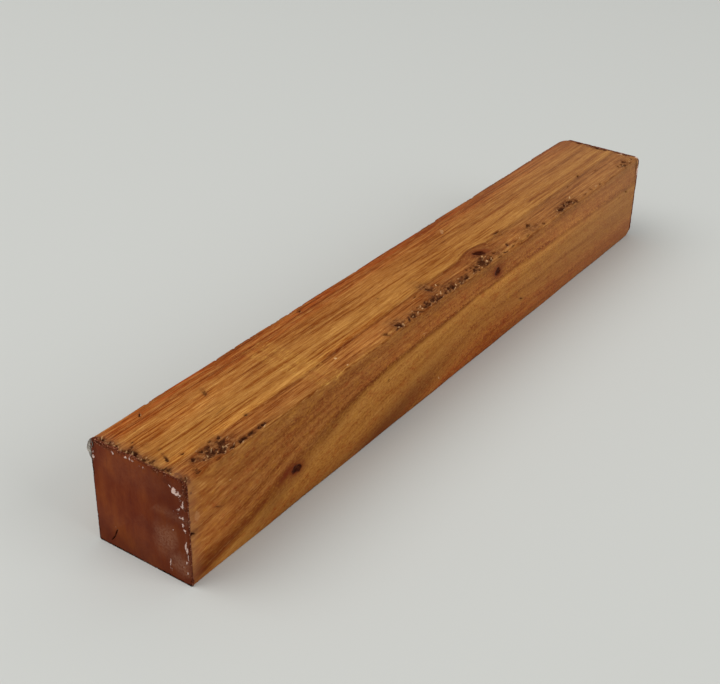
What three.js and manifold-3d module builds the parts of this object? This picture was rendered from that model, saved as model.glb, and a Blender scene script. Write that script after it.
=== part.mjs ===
// A canarywood spindle blank: a square stick of sawn hardwood, lying on one face, for turning on a lathe.
// Both ends are sealed with a film of wax. One long arris is torn, and knots, bug holes and chips pit the
// faces. Millimetres. The origin is the middle of the face it lies on. +X runs along the stick, from the
// marked end to the far end. +Z is up. The torn arris joins the top face to the side face at -Y.
import * as THREE from "three";
import { mergeVertices } from "three/addons/utils/BufferGeometryUtils.js";
import Module from "manifold-3d";

const wasm = await Module();
wasm.setup();

// Driving dimensions
const LENGTH = 304.8; // over the wax on both ends
const SIDE = 38.1; // of the square section
const WAX = 0.7; // thickness of the film on each end

// Edges. An arris is a long edge, and its softening is the radius of its corner in the section. The four are
// the torn arris, then the others counter-clockwise as seen from the far end.
const ARRIS_SOFT = [0.9, 0.6, 0.6, 0.7];
const ARRIS_WAVE = 0.45; // how far the softening comes and goes along the stick, as a share of it
const WAVE_LENGTHS = [61, 47, 53, 41];
const MARKED_WORN = [1.4, 0, 0, 0]; // added to the softening at the marked end
const MARKED_WEAR = 16; // and worn off this far along
const FAR_WORN = [1.2, 4, 3, 4]; // the far end's corners are knocked round
const FAR_WEAR = 6;
const ARC_STEPS = 4;

// Marks in the faces: along, across, half the length, half the width, the depth, and the turn from the grain
// in degrees. Along is from the marked end. Across goes round the section from the torn arris: over the top
// (0 to 38), down the back (38 to 76), under the bottom (76 to 114) and, below zero, down the front side.
const KNOTS = [
  [50.9, -24.5, 2.5, 1.5, 0.6, -8],
  [177.7, -5.5, 2.3, 1.7, 0.6, -10],
  [178.2, 8.6, 2.5, 1.7, 0.9, -28],
];
const TORN_BED = [16.8, 4.6, 7, 2.8, 0.55, 8]; // the floor of the widest torn patch, under its pits
const TORN_GRAIN = [
  // near the marked end
  [10.7, 6.5, 1.0, 0.6, 0.7, 10], [14.7, 7.4, 0.9, 0.5, 0.6, -20], [17.5, 6.9, 0.9, 0.5, 0.6, 25],
  [20.2, 8.6, 0.6, 0.45, 0.5, 0], [23.2, 8.0, 0.8, 0.6, 0.7, 30], [16.5, 4.9, 1.8, 1.0, 0.9, 15],
  [14.5, 3.4, 1.0, 0.6, 0.8, -30], [22.0, 5.4, 1.9, 0.8, 0.8, 20], [19.2, 2.9, 1.9, 1.1, 0.9, 35],
  [22.3, 1.2, 1.5, 0.55, 0.7, 5], [26.5, 1.1, 1.8, 0.7, 0.9, 4], [30.7, 1.0, 1.5, 0.5, 0.8, 6],
  [35.0, 1.1, 0.9, 0.45, 0.6, 8], [37.2, 1.1, 0.8, 0.4, 0.5, 0], [7.2, 2.4, 0.9, 0.6, 0.5, 40],
  // the row in the middle
  [104.6, 2.1, 0.9, 0.9, 0.5, 60], [112.3, 2.4, 1.7, 1.3, 1.0, 20], [121.1, 2.1, 1.7, 0.8, 0.8, 40],
  [124.3, 3.1, 0.9, 0.5, 0.6, -45], [125.6, 1.1, 1.2, 0.45, 0.7, -30], [129.1, 2.0, 1.1, 0.5, 0.6, 20],
  [131.6, 2.4, 1.3, 0.8, 0.8, 30], [135.3, 3.1, 1.4, 0.8, 0.8, 55], [138.3, 1.6, 1.4, 0.7, 0.9, 15],
  [142.6, 1.9, 1.1, 0.6, 0.7, 40], [146.1, 2.6, 1.1, 0.55, 0.7, 45], [148.3, 2.8, 1.6, 1.1, 1.0, 35],
  [153.2, 2.0, 1.0, 0.6, 0.6, 10], [157.2, 1.9, 2.1, 0.9, 0.9, 8], [164.4, 2.8, 1.1, 0.6, 0.7, 40],
  [167.0, 3.7, 0.9, 0.8, 0.8, 60], [171.7, 3.6, 1.5, 1.4, 1.0, 40], [172.2, 1.6, 1.6, 0.5, 0.7, 10],
  [175.2, 2.2, 1.0, 0.5, 0.7, 35], [173.9, 5.4, 1.3, 0.5, 0.5, 38], [181.0, 4.4, 0.7, 0.4, 0.5, 50],
  // towards the far end
  [203.2, 1.2, 1.6, 0.5, 0.5, 4], [210.7, 5.4, 1.5, 0.6, 0.6, 30], [216.7, 1.5, 0.9, 0.5, 0.5, 25],
  [233.3, 2.1, 2.8, 1.2, 0.9, 12], [237.3, 3.0, 1.2, 0.7, 0.6, 25], [241.8, 3.2, 1.4, 0.9, 0.8, -15],
  [242.6, 1.2, 0.9, 0.45, 0.6, 30], [292.3, 1.0, 1.0, 0.45, 0.5, 15], [295.8, 3.9, 1.1, 0.5, 0.5, 35],
];
const HOLES = [
  [18.0, 35.0, 0.9, 0.4, 0.6, 44], [4.2, 25.0, 0.7, 0.6, 0.6, 0], [6.0, 13.1, 1.6, 0.45, 0.8, 64],
  [10.6, 10.9, 0.6, 0.4, 0.5, 0], [2.2, 8.7, 1.4, 0.5, 0.6, 8], [39.5, 27.6, 1.8, 0.55, 0.6, 60],
  [37.7, 9.0, 0.6, 0.4, 0.5, 0], [99.3, 35.6, 0.8, 0.5, 0.5, 20], [140.6, 8.3, 1.4, 0.7, 0.7, -72],
  [197.2, 12.6, 1.9, 0.5, 0.5, -4], [268.3, 12.6, 1.2, 0.4, 0.5, 30], [1.8, -19.0, 0.9, 0.6, 0.6, -15],
  [199.5, -26.7, 1.1, 0.4, 0.5, -24], [62.0, 58.0, 1.6, 0.6, 0.5, 10], [131.0, 47.5, 0.7, 0.5, 0.5, 0],
  [208.0, 66.0, 2.0, 0.4, 0.5, -6], [247.0, 52.0, 0.6, 0.5, 0.5, 0], [34.0, 71.0, 1.3, 0.4, 0.5, 20],
  [283.0, 61.0, 1.0, 0.5, 0.5, 12], [88.0, 92.0, 1.5, 0.5, 0.5, -8], [151.0, 104.0, 0.6, 0.5, 0.5, 0],
  [226.0, 84.0, 1.8, 0.5, 0.5, 5],
];
const END_CHIPS = [
  [1.2, 22.1, 1.4, 2.4, 0.9, -8], [1.7, 17.4, 1.2, 1.3, 0.6, 10], [2.0, 34.4, 1.1, 0.5, 0.6, 50],
  [1.6, 28.8, 1.4, 0.7, 0.6, 48], [1.1, 30.9, 0.9, 1.6, 0.5, 0], [1.0, 25.6, 0.9, 1.0, 0.5, 0],
  [1.0, 60.0, 0.9, 1.5, 0.6, 0], [303.5, 20.0, 0.9, 2.0, 0.6, 0], [303.5, 16.6, 0.8, 0.9, 0.6, 0],
  [303.6, 30.0, 0.6, 2.2, 0.5, 0], [303.5, 50.0, 0.9, 1.6, 0.6, 0], [303.4, 96.0, 0.9, 1.5, 0.6, 0],
];

// Wax. Heights are from the face that the stick lies on.
const WAX_PROUD = 0.15; // of the wood's sides
const WAX_ROUND = 0.3; // how far its rim is drawn in at the outer face
const WAX_SHOULDER = 0.5; // the share of its thickness where that begins
const WAX_LUMPS = [
  { y: -14.2, z: 33.6, wide: 1.3, tall: 1.1, proud: 0.5 },
  { y: -16, z: 33.3, wide: 0.9, tall: 0.8, proud: 0.4 },
  { y: -17.2, z: 30, wide: 0.5, tall: 1.1, proud: 0.3 },
  { y: -15.6, z: 27.4, wide: 0.4, tall: 0.6, proud: 0.3 },
  { y: -17.2, z: 25, wide: 0.5, tall: 0.7, proud: 0.3 },
  { y: -17, z: 22.3, wide: 0.4, tall: 0.6, proud: 0.3 },
  { y: -17.8, z: 13.2, wide: 0.5, tall: 2.3, proud: 0.3 },
  { y: -11, z: 5.4, wide: 0.4, tall: 1.7, proud: 0.3 },
];
// The flake's outline, out past the side face and down from the top face.
const FLAKE = [
  [-1, -0.2],
  [0, -0.2],
  [1.2, -1.4],
  [2, -2.8],
  [2.5, -5],
  [1.8, -4],
  [1.2, -6.1],
  [0, -8],
  [-1, -8],
];
const FLAKE_THICK = 0.6;
const FLAKE_INSET = 0.05; // from the film's outer face

// An end check: a crack through the wax and into the wood, low on the marked end. It leans, in degrees.
const CHECK = { y: 12.3, z: 4.8, tall: 6, wide: 0.5, deep: 2.6, lean: 29 };

const CORNERS = [
  [-1, 1],
  [-1, -1],
  [1, -1],
  [1, 1],
]; // of the section, as the signs of y and z from its middle
const HALF = SIDE / 2;
const MARKED_END = -LENGTH / 2;
const WOOD_START = WAX; // along
const WOOD_END = LENGTH - WAX;
const STATION = 7.5; // between the wood's sections
const LONG_BLOB = 1.9; // half its length
const COLOURS = { wood: 0xa5682c, wax: 0x6b3423 };

const smooth = (t) => t * t * (3 - 2 * t);
const clamp = (t) => Math.min(1, Math.max(0, t));

// The four corner radii of the section.
function cornersAt(along) {
  const marked = smooth(clamp(1 - along / MARKED_WEAR));
  const far = clamp((along - WOOD_END + FAR_WEAR) / FAR_WEAR) ** 2;
  return ARRIS_SOFT.map((soft, i) => {
    const wave = 1 + ARRIS_WAVE * Math.sin((2 * Math.PI * along) / WAVE_LENGTHS[i]);
    return soft * wave + MARKED_WORN[i] * marked + FAR_WORN[i] * far;
  });
}

// A ring of points round the section, drawn in by inset, with none below the face that it lies on.
function ring(along, radii, inset) {
  const x = MARKED_END + along;
  const quarter = Math.PI / 2;
  const points = [];
  CORNERS.forEach(([sideways, up], corner) => {
    const r = radii[corner];
    for (let i = 0; i <= ARC_STEPS; i++) {
      const a = (corner + 1 + i / ARC_STEPS) * quarter;
      const y = sideways * (HALF - inset - r) + r * Math.cos(a);
      const z = HALF + up * (HALF - inset - r) + r * Math.sin(a);
      points.push(new THREE.Vector3(x, y, Math.max(z, 0)));
    }
  });
  return points;
}

// A closed geometry through rings of equal count, with a fan on each end.
function loft(rings) {
  const count = rings[0].length;
  const middle = (points) => new THREE.Vector3(points[0].x, 0, HALF);
  const triangles = [];
  for (let s = 0; s + 1 < rings.length; s++) {
    for (let i = 0; i < count; i++) {
      const j = (i + 1) % count;
      const [a, b] = [rings[s][i], rings[s][j]];
      const [c, d] = [rings[s + 1][i], rings[s + 1][j]];
      triangles.push(a, b, c, b, d, c);
    }
  }
  const [first, last] = [rings[0], rings[rings.length - 1]];
  for (let i = 0; i < count; i++) {
    const j = (i + 1) % count;
    triangles.push(middle(first), first[j], first[i]);
    triangles.push(middle(last), last[i], last[j]);
  }
  return new THREE.BufferGeometry().setFromPoints(triangles);
}

function solidOf(geometry) {
  const bare = geometry.index ? geometry.toNonIndexed() : geometry.clone();
  bare.deleteAttribute("normal");
  bare.deleteAttribute("uv");
  const merged = mergeVertices(bare, 1e-4);
  const mesh = new wasm.Mesh({
    numProp: 3,
    vertProperties: merged.attributes.position.array,
    triVerts: new Uint32Array(merged.index.array),
  });
  return new wasm.Manifold(mesh);
}

function geometryOf(solid) {
  const mesh = solid.getMesh();
  const positions = new THREE.BufferAttribute(new Float32Array(mesh.vertProperties), 3);
  const geometry = new THREE.BufferGeometry();
  geometry.setAttribute("position", positions);
  geometry.setIndex(new THREE.BufferAttribute(new Uint32Array(mesh.triVerts), 1));
  return geometry;
}

// A low, rounded blob, to cut a pit or raise a lump. A long one gets more faces.
function blob(halfX, halfY, halfZ) {
  const detail = Math.max(halfX, halfY, halfZ) > LONG_BLOB ? 1 : 0;
  return new THREE.IcosahedronGeometry(1, detail).scale(halfX, halfY, halfZ);
}

// A pit for one mark, in whichever of the long faces it lies.
function pit([along, across, long, wide, deep, turn]) {
  const face = Math.floor(across / SIDE); // 0 is the top, 1 the back, 2 the bottom and -1 the front side
  const shape = blob(long, wide, deep).rotateZ(THREE.MathUtils.degToRad(turn));
  shape.translate(MARKED_END + along, across - (face + 0.5) * SIDE, HALF);
  shape.rotateX((-face * Math.PI) / 2).translate(0, 0, HALF);
  return solidOf(shape);
}

// The crack's blade, long enough to cut both the wax and the wood behind it.
function checkBlade() {
  const { y, z, tall, wide, deep, lean } = CHECK;
  const reach = 2 * (WAX + deep);
  const blade = new THREE.CylinderGeometry(1, 1, 1, 4).scale(wide / 2, reach, tall / 2);
  blade.rotateZ(Math.PI / 2);
  blade.rotateX(THREE.MathUtils.degToRad(lean));
  blade.translate(MARKED_END, y, z);
  return solidOf(blade);
}

function woodBlank() {
  const span = WOOD_END - WOOD_START;
  const steps = Math.round(span / STATION);
  const alongs = Array.from({ length: steps + 1 }, (_, i) => WOOD_START + (span * i) / steps);
  const wornEnds = [4, 2.8, 1.7, 0.8].map((back) => WOOD_END - back);
  const stations = [...alongs, ...wornEnds].sort((a, b) => a - b);
  const body = solidOf(loft(stations.map((along) => ring(along, cornersAt(along), 0))));
  const marks = [...KNOTS, TORN_BED, ...TORN_GRAIN, ...HOLES, ...END_CHIPS];
  const cuts = [...marks.map(pit), checkBlade()];
  return body.subtract(wasm.Manifold.union(cuts));
}

// A film over one end: it stands a little proud of the wood's sides, and its rim is rounded off outside.
function waxFilm(inner, outer, wornAt) {
  const radii = cornersAt(wornAt);
  const rounded = radii.map((r) => r + WAX_ROUND);
  const shoulder = inner + (outer - inner) * WAX_SHOULDER;
  const rings = [
    ring(inner, radii, -WAX_PROUD),
    ring(shoulder, radii, -WAX_PROUD),
    ring(outer, rounded, WAX_ROUND),
  ];
  return solidOf(loft(inner < outer ? rings : rings.reverse()));
}

function waxLump({ y, z, wide, tall, proud }) {
  return solidOf(blob(proud, wide, tall).translate(MARKED_END, y, z));
}

// The flake hangs from the corner where the top meets the sound side face.
function waxFlake() {
  const points = FLAKE.map(([out, down]) => new THREE.Vector2(HALF + out, SIDE + down));
  const outline = new THREE.Shape(points);
  const flake = new THREE.ExtrudeGeometry(outline, { depth: FLAKE_THICK, bevelEnabled: false });
  // The outline is drawn in X and Y. Its X becomes the stick's Y, its Y becomes Z, and its depth becomes X.
  const [x, y, z] = [[1, 0, 0], [0, 1, 0], [0, 0, 1]].map((axis) => new THREE.Vector3(...axis));
  flake.applyMatrix4(new THREE.Matrix4().makeBasis(y, z, x));
  return solidOf(flake.translate(MARKED_END + FLAKE_INSET, 0, 0));
}

function markedEndWax() {
  const film = waxFilm(WOOD_START, 0, WOOD_START);
  const raised = wasm.Manifold.union([film, waxFlake(), ...WAX_LUMPS.map(waxLump)]);
  return raised.subtract(checkBlade());
}

function farEndWax() {
  return waxFilm(WOOD_END, LENGTH, WOOD_END);
}

function part(name, solid, colour, roughness) {
  const material = new THREE.MeshStandardMaterial({ color: colour, roughness, metalness: 0 });
  const mesh = new THREE.Mesh(geometryOf(solid), material);
  mesh.name = name;
  return mesh;
}

const blank = new THREE.Group();
blank.add(part("wood_blank", woodBlank(), COLOURS.wood, 0.5));
blank.add(part("marked_end_wax", markedEndWax(), COLOURS.wax, 0.35));
blank.add(part("far_end_wax", farEndWax(), COLOURS.wax, 0.35));

export default blank;
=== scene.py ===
"""The looks of a canarywood spindle blank: a square stick of sawn wood with wax on both ends.

Lengths are millimetres in the frame's axes, and become metres as each mesh is made. A place on the long
faces is given as along, from the marked end, and across, round the section from the torn arris: over the
top (0 to 38), down the back (38 to 76), under the bottom (76 to 114), and down the front side (0 to -38).
"""
import math

import bpy
import numpy as np
from mathutils import Matrix, Vector


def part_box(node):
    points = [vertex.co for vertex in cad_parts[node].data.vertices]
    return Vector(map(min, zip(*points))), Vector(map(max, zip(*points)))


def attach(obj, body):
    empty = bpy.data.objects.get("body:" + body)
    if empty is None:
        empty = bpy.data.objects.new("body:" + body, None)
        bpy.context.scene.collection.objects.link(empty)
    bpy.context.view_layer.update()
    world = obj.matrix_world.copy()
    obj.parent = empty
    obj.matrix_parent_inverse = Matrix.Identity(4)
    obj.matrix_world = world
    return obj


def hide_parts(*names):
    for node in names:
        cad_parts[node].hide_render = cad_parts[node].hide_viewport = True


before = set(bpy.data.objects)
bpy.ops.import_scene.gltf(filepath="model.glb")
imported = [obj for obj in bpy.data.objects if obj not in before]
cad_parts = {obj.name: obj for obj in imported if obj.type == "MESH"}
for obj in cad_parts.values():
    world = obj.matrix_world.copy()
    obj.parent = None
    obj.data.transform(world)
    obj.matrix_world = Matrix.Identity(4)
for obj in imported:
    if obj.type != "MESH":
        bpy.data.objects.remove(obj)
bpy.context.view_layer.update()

# From the frame
TO_MM = 1000.0
WOOD_LOW, WOOD_HIGH = (np.array(corner) * TO_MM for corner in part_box("wood_blank"))
FAR_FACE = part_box("far_end_wax")[1][0] * TO_MM
MARKED_FACE = -FAR_FACE
LENGTH = FAR_FACE - MARKED_FACE
SIDE = WOOD_HIGH[2] - WOOD_LOW[2]
HALF = SIDE / 2
WAX = WOOD_LOW[0] - MARKED_FACE
ROUND = 4 * SIDE
SEED = 7
TINY = 1e-6

# The four long edges: the torn arris, bottom front, bottom back and top back, as signs of Y and Z
CORNERS = ((-1, 1), (-1, -1), (1, -1), (1, 1))
# Their radius, and how it waves along the stick
ARRIS_SOFT = (0.9, 0.35, 0.5, 0.4)
ARRIS_WAVE = 0.45
WAVE_LENGTHS = (61, 47, 53, 41)
# How deep their nicks are, how much they are darkened (painted shade along the bottom edges where they meet
# the floor, and a dark line along the top back edge), and how far both spread over the faces
ARRIS_NICKS = (0.28, 0.1, 0.15, 0.28)
ARRIS_SOIL_AND_SHADE = (0, 1.0, 0.3, 0.9)
ARRIS_SPREAD = 0.8
SOIL_AND_SHADE_STARTS = (10, 60)
# What wear adds to the radius at the ends, and how far along it reaches
MARKED_WORN = (0.8, 0, 0, 0)
MARKED_WEAR = 16
FAR_WORN = (1.2, 3.2, 3, 4)
FAR_WEAR = 6

# Edge lengths of the wood's mesh: the longest, those at the long edges, the ends and the spots, and how
# fast they grow away from each. Below HIDDEN_DEPTH nothing shows, and edges are as long as they may be.
LONGEST_EDGE = 3.0
ARRIS_EDGE = (0.42, 0.75, 0.75, 0.55)
ARRIS_BAND = 0.7
ARRIS_GROWTH = 0.7
END_EDGE = 0.6
END_BAND = 1
END_GROWTH = 0.6
SPOT_EDGE = 0.3
PIT_GROWTH = 0.5
SPLINTER_GROWTH = 0.6
HIDDEN_DEPTH = 2
# The share of a spot's half size that has its finest edges
SPOT_CORE = 1.3

# The wood is drawn in by WANDER and wanders by as much, so that it stays inside the model's box
WANDER = 0.05
# The most that the underside rises between its pits
SOLE = 0.02
# How rough the torn ground is, and how deep in the end faces the long faces' shape reaches
BED_RELIEF = 0.2
INNER_REACH = 3

# Spots: along, across, half long, half wide, deep, turn from the grain in degrees, how dark
KNOTS = (
    (50.9, -24.5, 2.8, 1.75, 0.45, -8, 1), (177.7, -5.5, 2.3, 1.6, 0.4, -10, 0.7),
    (178, 8.6, 2.8, 1.9, 0.7, -28, 0.85),
)
PITS = (
    # the torn patch near the marked end
    (10.7, 6.5, 1.12, 0.75, 0.7, 10, 0.85), (14.7, 7.4, 1.01, 0.62, 0.6, -20, 0.8),
    (17.5, 6.9, 1.01, 0.62, 0.6, 25, 0.8), (20.2, 8.6, 0.67, 0.56, 0.5, 0, 0.7),
    (23.2, 8, 0.9, 0.75, 0.7, 30, 0.9), (16.5, 4.9, 2.02, 1.25, 0.9, 15, 0.95),
    (14.5, 3.4, 1.12, 0.75, 0.6, -30, 0.75), (22, 5.4, 2.13, 1, 0.8, 20, 0.95),
    (19.2, 2.9, 2.13, 1.38, 0.9, 35, 1), (22.3, 1.2, 1.68, 0.69, 0.7, 5, 0.85),
    (26.5, 1.4, 2, 1, 0.9, 4, 1), (30.7, 1.3, 1.6, 0.8, 0.8, 6, 0.95), (35, 1.5, 1.1, 0.7, 0.6, 8, 0.9),
    (37.2, 1.6, 1, 0.6, 0.5, 0, 0.9), (7.2, 2.4, 1.01, 0.75, 0.4, 40, 0.5),
    (6.7, 1, 1.01, 0.5, 0.4, 0, 0.6), (15.5, 0.9, 1.46, 0.38, 0.4, 3, 0.6),
    # the torn row in the middle
    (104.6, 2.1, 1.01, 1.12, 0.5, 60, 0.6), (108.1, 2, 1.01, 0.5, 0.3, 30, 0.35),
    (112.3, 2.4, 1.9, 1.62, 1, 20, 1), (121.1, 2.1, 1.9, 1, 0.8, 40, 0.8),
    (124.3, 3.1, 1.01, 0.62, 0.6, -45, 0.8), (125.6, 1.1, 1.34, 0.56, 0.7, -30, 0.95),
    (129.1, 2, 1.23, 0.62, 0.6, 20, 0.7), (131.6, 2.4, 1.46, 1, 0.8, 30, 0.85),
    (135.3, 3.1, 1.57, 1, 0.8, 55, 0.9), (138.3, 1.6, 1.57, 0.88, 0.9, 15, 1),
    (142.6, 1.9, 1.23, 0.75, 0.7, 40, 0.8), (146.1, 2.6, 1.23, 0.69, 0.7, 45, 0.85),
    (148.3, 2.8, 1.79, 1.38, 1, 35, 1), (153.2, 2, 1.12, 0.75, 0.6, 10, 0.8),
    (157.2, 1.9, 2.35, 1.12, 0.9, 8, 0.9), (164.4, 2.8, 1.23, 0.75, 0.7, 40, 0.9),
    (165.7, 1.4, 1.12, 0.5, 0.5, 20, 0.8), (167, 3.7, 1.01, 1, 0.8, 60, 0.95),
    (171.7, 3.6, 1.68, 1.75, 1, 40, 1), (172.2, 1.6, 1.79, 0.62, 0.7, 10, 0.85),
    (175.2, 2.2, 1.12, 0.62, 0.7, 35, 0.95), (173.9, 5.4, 1.46, 0.62, 0.5, 38, 0.7),
    (181, 4.4, 0.78, 0.5, 0.5, 50, 0.7), (177.9, 3.6, 0.67, 0.5, 0.4, 30, 0.7),
    (180, 0.6, 0.9, 0.38, 0.4, 0, 0.9), (185.2, 0.5, 0.67, 0.38, 0.4, 0, 0.9),
    (140.6, 8.3, 1.57, 0.88, 0.7, -72, 0.9), (145.8, 7.4, 1.34, 0.62, 0.4, -20, 0.5),
    (132.8, 9.1, 0.9, 0.31, 0.3, 5, 0.6), (143.4, 4.6, 1.34, 0.44, 0.3, 30, 0.5),
    # the far half of the row
    (203.2, 1.2, 1.79, 0.62, 0.4, 4, 0.5), (197.2, 1.1, 1.23, 0.5, 0.3, 0, 0.4),
    (210.7, 5.4, 1.68, 0.75, 0.6, 30, 0.75), (216.7, 1.5, 1.01, 0.62, 0.5, 25, 0.7),
    (233.3, 2.1, 3.14, 1.5, 0.9, 12, 1), (237.3, 3, 1.34, 0.88, 0.6, 25, 0.85),
    (241.8, 3.2, 1.57, 1.12, 0.8, -15, 0.9), (242.6, 1.2, 1.01, 0.56, 0.6, 30, 0.9),
    (252.8, 1.2, 1.01, 0.44, 0.3, 10, 0.5), (259.3, 1.7, 0.9, 0.5, 0.3, 60, 0.5),
    (266.8, 1, 0.9, 0.38, 0.3, 15, 0.6), (292.3, 1, 1.12, 0.56, 0.5, 15, 0.9),
    (295.8, 3.9, 1.23, 0.62, 0.5, 35, 0.9), (289.3, 3.1, 0.9, 0.62, 0.4, 50, 0.6),
    (302.4, -4, 0.45, 3.75, 0.5, 4, 0.9),
    # single holes and dashes
    (18, 35, 0.9, 0.3, 0.5, 44, 0.9), (4.2, 25, 0.7, 0.6, 0.6, 0, 0.75), (6, 26.5, 0.4, 0.3, 0.4, 0, 0.8),
    (6, 13.1, 1.6, 0.4, 0.8, 64, 1), (10.6, 10.9, 0.6, 0.4, 0.5, 0, 0.8),
    (2.2, 8.7, 1.4, 0.5, 0.6, 8, 0.85), (39.5, 27.6, 1.8, 0.55, 0.6, 60, 0.55),
    (37.7, 9, 0.6, 0.4, 0.5, 0, 0.95), (35, 16.7, 1.6, 0.2, 0.25, 2, 0.6),
    (8.2, 17.7, 0.5, 0.4, 0.3, 0, 0.5), (99.3, 35.6, 0.8, 0.5, 0.5, 20, 0.8),
    (123.8, 18.9, 0.5, 0.3, 0.3, 0, 0.6), (197.2, 12.6, 1.9, 0.5, 0.5, -4, 0.8),
    (196.7, 10, 0.8, 0.3, 0.3, -30, 0.5), (268.3, 12.6, 1.2, 0.4, 0.4, 30, 0.7),
    (255.5, 10.8, 0.8, 0.3, 0.3, 20, 0.5), (279.3, 9.4, 1.4, 0.4, 0.2, 2, 0.4),
    (1.8, -19, 0.9, 0.6, 0.6, -15, 0.95), (13.2, -16.2, 1.2, 0.2, 0.2, -30, 0.6),
    (103.8, -17.5, 0.5, 0.4, 0.3, 0, 0.6), (199.5, -26.7, 1.1, 0.35, 0.4, -24, 0.7),
    (294.3, -13, 1.4, 0.4, 0.3, -20, 0.6), (288, -13.7, 0.8, 0.3, 0.2, -10, 0.4),
    # the back and the bottom
    (62, 58, 1.6, 0.6, 0.5, 10, 0.9), (131, 47.5, 0.7, 0.5, 0.5, 0, 0.9), (208, 66, 2, 0.4, 0.4, -6, 0.8),
    (247, 52, 0.6, 0.5, 0.5, 0, 0.9), (34, 71, 1.3, 0.4, 0.4, 20, 0.7), (283, 61, 1, 0.5, 0.4, 12, 0.8),
    (88, 92, 1.5, 0.5, 0.4, -8, 0.8), (151, 104, 0.6, 0.5, 0.5, 0, 0.9), (226, 84, 1.8, 0.5, 0.5, 5, 0.8),
)
END_CHIPS = (
    (1.2, 22.1, 1.4, 2.4, 0.9, -8, 1), (1.7, 17.4, 1.2, 1.3, 0.6, 10, 0.8),
    (2, 34.4, 1.1, 0.5, 0.6, 50, 0.9), (1.6, 28.8, 1.4, 0.7, 0.6, 48, 0.85),
    (1, 12, 0.8, 1.2, 0.4, 0, 0.6), (1, 2.4, 0.9, 1.1, 0.5, 0, 0.6), (1.1, 30.9, 0.9, 1.6, 0.5, 0, 0.7),
    (1, 25.6, 0.9, 1, 0.5, 0, 0.8), (303.5, 20, 0.9, 2, 0.6, 0, 0.9),
    (303.5, 16.6, 0.8, 0.9, 0.6, 0, 0.9), (303.6, 30, 0.6, 2.2, 0.4, 0, 0.7),
    (303.6, 8, 0.6, 2, 0.4, 0, 0.6), (303.5, 50, 0.9, 1.6, 0.6, 0, 0.7), (1, 60, 0.9, 1.5, 0.6, 0, 0.7),
    (303.4, 96, 0.9, 1.5, 0.6, 0, 0.7),
)
# Sunken, dirty ground under the pits
TORN_BEDS = (
    (13.5, 6.2, 4.6, 1.6, 0.3, 12, 0.6), (18.6, 4.6, 5, 2.8, 0.5, 14, 0.9),
    (24, 3.6, 3.6, 1.8, 0.25, 10, 0.6), (31, 1.2, 6.5, 0.7, 0.2, 0, 0.4),
    (112.5, 2.4, 2.9, 2.5, 0.2, 10, 0.69), (121.5, 2.2, 2.9, 1.8, 0.2, 20, 0.69),
    (130, 2.2, 4.4, 1.8, 0.2, 5, 0.57), (138, 2.2, 5, 2.2, 0.3, 10, 0.8),
    (147, 2.6, 5, 2.2, 0.3, 10, 0.92), (156.5, 2.1, 4.4, 1.7, 0.2, 4, 0.8),
    (165.5, 2.7, 3.3, 2, 0.25, 20, 0.8), (172, 3.2, 4.4, 2.9, 0.35, 20, 1),
    (175.5, 6.2, 3.3, 2.1, 0.15, 40, 0.8), (141, 8.6, 2, 3.6, 0.1, 0, 0.8),
    (182.5, 2.6, 5, 2.1, 0.1, 30, 0.46), (210.5, 3.4, 5, 2.1, 0.1, 15, 0.46),
    (234.5, 2.3, 5.3, 2.2, 0.25, 10, 0.8), (242, 2.5, 3.1, 2.5, 0.25, 0, 0.92),
    (293.5, 2, 4.4, 2, 0.1, 20, 0.46),
)
# Rows of small torn pits and of pale fibres that stand up: from, to, lowest and highest across, how many
TORN_ROWS = (
    (9, 24, 1.2, 8.4, 10), (110, 122, 1.2, 3.2, 5), (121, 160, 0.9, 4.2, 22), (162, 178, 1.2, 6, 13),
    (178, 205, 0.6, 4, 6), (228, 246, 0.8, 4.2, 9), (286, 301, 0.8, 4.5, 6), (0.9, 3, 14, 37, 12),
    (0.9, 2.4, 1, 11, 5),
)
# The pits' and fibres' least and most: half long, half wide, deep or high, turn, how dark or pale
SMALL_PITS = ((0.6, 1.5), (0.3, 0.6), (0.15, 0.5), (0, 55), (0.4, 0.9))
FIBRES = ((0.4, 1.0), (0.14, 0.28), (0.05, 0.16), (-10, 55), (0.4, 1.0))
# Patches of lighter and darker wood: along, across, half long, half wide, turn, lighter or darker
TONE_PATCHES = (
    (6, -8, 14, 8, 0, 0.25), (9, -24, 15, 5, 8, 0.28), (50, -37, 32, 3, 0, -0.25),
    (40, -30.5, 12, 3, 18, -0.38), (69, -20.5, 12, 3, 14, -0.25), (112, -33.5, 28, 6, 13, -0.5),
    (92, -37, 22, 4, 0, -0.25), (245, -5.5, 60, 5.5, 0, 0.28), (135, 25, 18, 3, 0, 0.08),
    (28, 25, 22, 2.6, 0, 0.35), (25, 9.6, 26, 2.2, 0, 0.36), (298, 37, 8, 4, 0, -0.35),
    (14, 33, 12, 3, 0, 0.12), (180, -14, 14, 3, 0, 0.1), (210, 36.4, 60, 2, 0, -0.2),
    (240, -10.2, 62, 2.6, 0, 0.34), (140, -7, 34, 5, 0, 0.2), (130, 4, 170, 5, 0, 0.12),
    (14, 3, 16, 4, 0, 0.15), (100, 4, 24, 3, 0, 0.15), (5, -34, 8, 4, 0, -0.2), (98, 10, 22, 1.8, 0, 0.3),
    (225, 10, 32, 1.8, 0, -0.25), (105, -10, 22, 1.6, 4, 0.2),
)
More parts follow.
